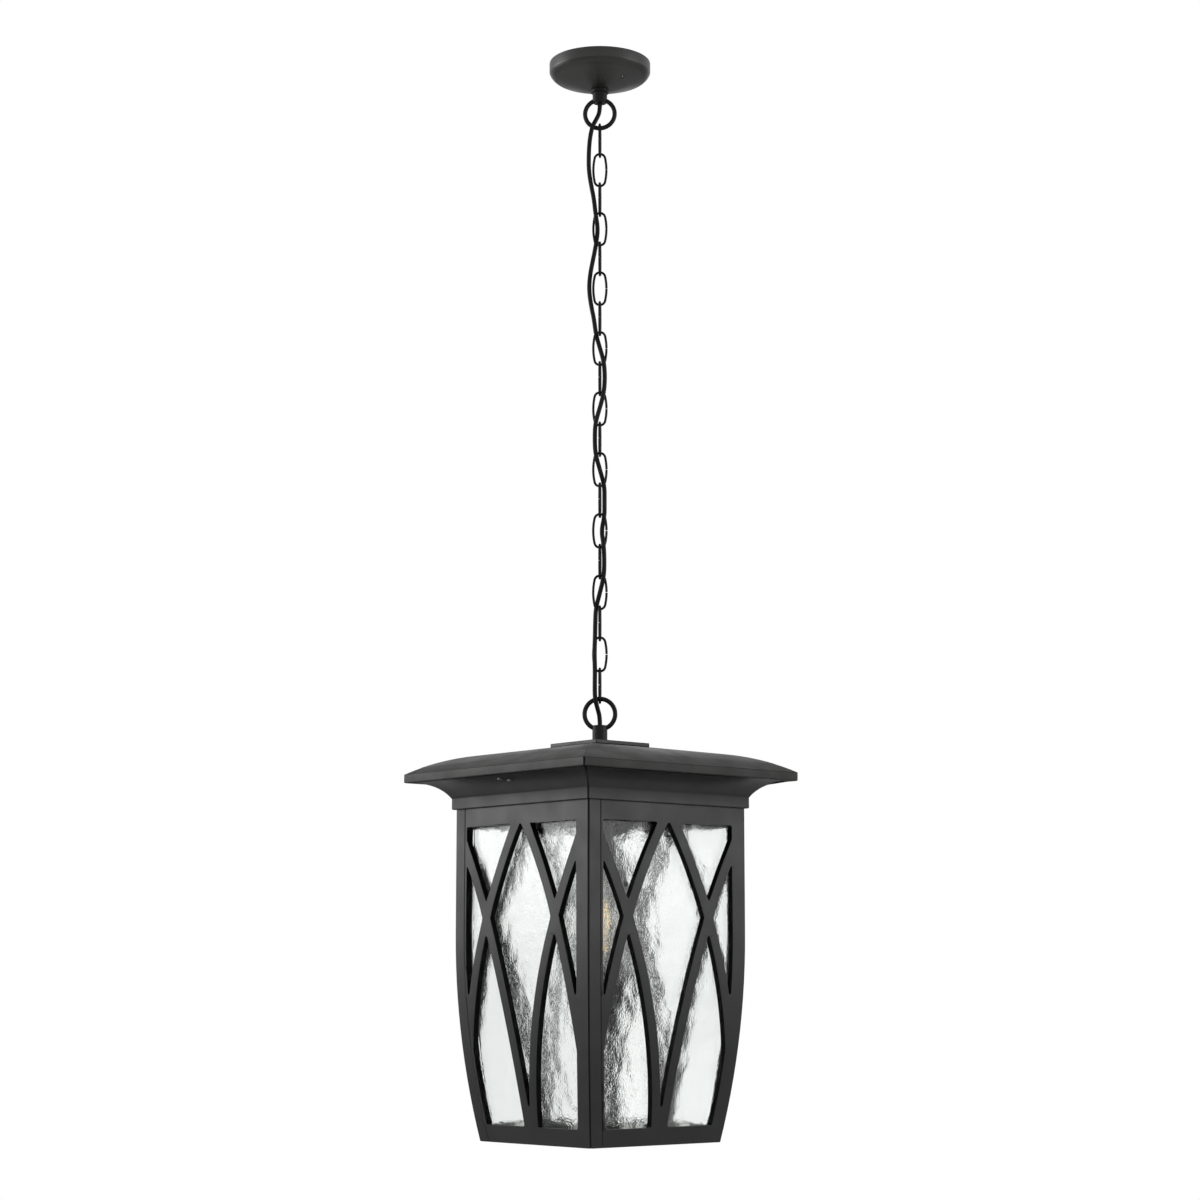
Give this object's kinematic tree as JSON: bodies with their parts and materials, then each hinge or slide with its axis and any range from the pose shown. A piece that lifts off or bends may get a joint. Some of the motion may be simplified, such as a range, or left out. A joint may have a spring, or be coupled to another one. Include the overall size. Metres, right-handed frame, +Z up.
{
  "type": "hanging lantern",
  "caption": "Square hanging lantern with hipped roof, crossing gothic bars over wavy glass, open bottom and a bulb inside, on a link chain with woven cord and round ceiling canopy.",
  "frame": {"origin": "centre of the ceiling plane, level with the canopy rim and the top of the mounting bar", "axes": "+Z up along the chain; the lantern's four sides face -Y, +X, +Y and -X; the mounting bar runs along X"},
  "size_m": [0.3056, 0.3056, 1.2006],
  "materials": {
    "black_casting": "satin black paint",
    "black_steel": "satin",
    "black_chain": "satin",
    "black_cord": "matte",
    "zinc_steel": "plain",
    "bright_steel": "bright",
    "green_screw": "satin",
    "black_holder": "matte",
    "holder_brass": "plain",
    "lead_insulation": "matte",
    "water_glass": "wavy",
    "bulb_glass": "clear",
    "bulb_base_metal": "satin",
    "filament": "amber"
  },
  "bodies": {
    "ceiling_mount": {"mounting_bar": "zinc_steel", "ground_screw": "green_screw", "bar_nipple": "zinc_steel", "bar_lock_nut": "zinc_steel", "canopy": "black_steel", "top_loop": "black_casting", "cord_tail_top": "black_cord"},
    "link_01": {"chain_link_01": "black_chain"},
    "link_02": {"chain_link_02": "black_chain"},
    "link_03": {"chain_link_03": "black_chain"},
    "link_04": {"chain_link_04": "black_chain"},
    "link_05": {"chain_link_05": "black_chain"},
    "link_06": {"chain_link_06": "black_chain"},
    "link_07": {"chain_link_07": "black_chain"},
    "link_08": {"chain_link_08": "black_chain"},
    "link_09": {"chain_link_09": "black_chain"},
    "link_10": {"chain_link_10": "black_chain", "lamp_cord": "black_cord"},
    "link_11": {"chain_link_11": "black_chain"},
    "link_12": {"chain_link_12": "black_chain"},
    "link_13": {"chain_link_13": "black_chain"},
    "link_14": {"chain_link_14": "black_chain"},
    "link_15": {"chain_link_15": "black_chain"},
    "link_16": {"chain_link_16": "black_chain"},
    "link_17": {"chain_link_17": "black_chain"},
    "link_18": {"chain_link_18": "black_chain"},
    "link_19": {"chain_link_19": "black_chain"},
    "lantern": {"bottom_loop": "black_casting", "cap_plate": "black_casting", "roof": "black_casting", "cove_collar": "black_casting", "soffit_screws": "bright_steel", "roof_washer": "zinc_steel", "roof_nut": "zinc_steel", "lamp_stem": "zinc_steel", "cord_tail_bottom": "black_cord", "side_frame_left": "black_casting", "side_frame_right": "black_casting", "side_frame_back_right": "black_casting", "side_frame_back_left": "black_casting", "glass_pane_left": "water_glass", "glass_pane_right": "water_glass", "glass_pane_back_right": "water_glass", "glass_pane_back_left": "water_glass", "glass_clips": "zinc_steel", "clip_screws": "zinc_steel", "corner_screws": "zinc_steel", "collar_screws": "zinc_steel", "lampholder_cap": "black_holder", "lampholder_barrel": "black_holder", "lampholder_shell": "holder_brass", "lampholder_contact": "holder_brass", "socket_leads": "lead_insulation"},
    "bulb": {"bulb_base": "bulb_base_metal", "bulb_globe": "bulb_glass", "bulb_stem": "bulb_glass", "bulb_filaments": "filament"}
  },
  "joints": [
    {"name": "link_01_swing", "type": "hinge", "parent": "ceiling_mount", "child": "link_01", "pos_m": [0, 0, -0.07625], "axis": [0.7071, 0.7071, 0], "range_deg": [-15, 15], "deforming": ["lamp_cord"]},
    {"name": "link_02_swing", "type": "hinge", "parent": "link_01", "child": "link_02", "pos_m": [0, 0, -0.10953], "axis": [0.7071, -0.7071, 0], "range_deg": [-15, 15], "deforming": ["lamp_cord"]},
    {"name": "link_03_swing", "type": "hinge", "parent": "link_02", "child": "link_03", "pos_m": [0, 0, -0.14396], "axis": [-0.7071, -0.7071, 0], "range_deg": [-15, 15], "deforming": ["lamp_cord"]},
    {"name": "link_04_swing", "type": "hinge", "parent": "link_03", "child": "link_04", "pos_m": [0, 0, -0.17839], "axis": [-0.7071, 0.7071, 0], "range_deg": [-15, 15], "deforming": ["lamp_cord"]},
    {"name": "link_05_swing", "type": "hinge", "parent": "link_04", "child": "link_05", "pos_m": [0, 0, -0.21282], "axis": [0.7071, 0.7071, 0], "range_deg": [-15, 15], "deforming": ["lamp_cord"]},
    {"name": "link_06_swing", "type": "hinge", "parent": "link_05", "child": "link_06", "pos_m": [0, 0, -0.24725], "axis": [0.7071, -0.7071, 0], "range_deg": [-15, 15], "deforming": ["lamp_cord"]},
    {"name": "link_07_swing", "type": "hinge", "parent": "link_06", "child": "link_07", "pos_m": [0, 0, -0.28168], "axis": [-0.7071, -0.7071, 0], "range_deg": [-15, 15], "deforming": ["lamp_cord"]},
    {"name": "link_08_swing", "type": "hinge", "parent": "link_07", "child": "link_08", "pos_m": [0, 0, -0.31611], "axis": [-0.7071, 0.7071, 0], "range_deg": [-15, 15], "deforming": ["lamp_cord"]},
    {"name": "link_09_swing", "type": "hinge", "parent": "link_08", "child": "link_09", "pos_m": [0, 0, -0.35054], "axis": [0.7071, 0.7071, 0], "range_deg": [-15, 15], "deforming": ["lamp_cord"]},
    {"name": "link_10_swing", "type": "hinge", "parent": "link_09", "child": "link_10", "pos_m": [0, 0, -0.38497], "axis": [0.7071, -0.7071, 0], "range_deg": [-15, 15], "deforming": ["lamp_cord"]},
    {"name": "link_11_swing", "type": "hinge", "parent": "link_10", "child": "link_11", "pos_m": [0, 0, -0.4194], "axis": [-0.7071, -0.7071, 0], "range_deg": [-15, 15], "deforming": ["lamp_cord"]},
    {"name": "link_12_swing", "type": "hinge", "parent": "link_11", "child": "link_12", "pos_m": [0, 0, -0.45383], "axis": [-0.7071, 0.7071, 0], "range_deg": [-15, 15], "deforming": ["lamp_cord"]},
    {"name": "link_13_swing", "type": "hinge", "parent": "link_12", "child": "link_13", "pos_m": [0, 0, -0.48826], "axis": [0.7071, 0.7071, 0], "range_deg": [-15, 15], "deforming": ["lamp_cord"]},
    {"name": "link_14_swing", "type": "hinge", "parent": "link_13", "child": "link_14", "pos_m": [0, 0, -0.52269], "axis": [0.7071, -0.7071, 0], "range_deg": [-15, 15], "deforming": ["lamp_cord"]},
    {"name": "link_15_swing", "type": "hinge", "parent": "link_14", "child": "link_15", "pos_m": [0, 0, -0.55712], "axis": [-0.7071, -0.7071, 0], "range_deg": [-15, 15], "deforming": ["lamp_cord"]},
    {"name": "link_16_swing", "type": "hinge", "parent": "link_15", "child": "link_16", "pos_m": [0, 0, -0.59155], "axis": [-0.7071, 0.7071, 0], "range_deg": [-15, 15], "deforming": ["lamp_cord"]},
    {"name": "link_17_swing", "type": "hinge", "parent": "link_16", "child": "link_17", "pos_m": [0, 0, -0.62598], "axis": [0.7071, 0.7071, 0], "range_deg": [-15, 15], "deforming": ["lamp_cord"]},
    {"name": "link_18_swing", "type": "hinge", "parent": "link_17", "child": "link_18", "pos_m": [0, 0, -0.66041], "axis": [0.7071, -0.7071, 0], "range_deg": [-15, 15], "deforming": ["lamp_cord"]},
    {"name": "link_19_swing", "type": "hinge", "parent": "link_18", "child": "link_19", "pos_m": [0, 0, -0.69484], "axis": [-0.7071, -0.7071, 0], "range_deg": [-15, 15], "deforming": ["lamp_cord"]},
    {"name": "lantern_swing", "type": "hinge", "parent": "link_19", "child": "lantern", "pos_m": [0, 0, -0.72927], "axis": [-0.7071, 0.7071, 0], "range_deg": [-15, 15], "deforming": ["lamp_cord"]},
    {"name": "bulb_turn", "type": "hinge", "parent": "lantern", "child": "bulb", "pos_m": [0, 0, -0.9], "axis": [0, 0, 1], "continuous": true}
  ]
}
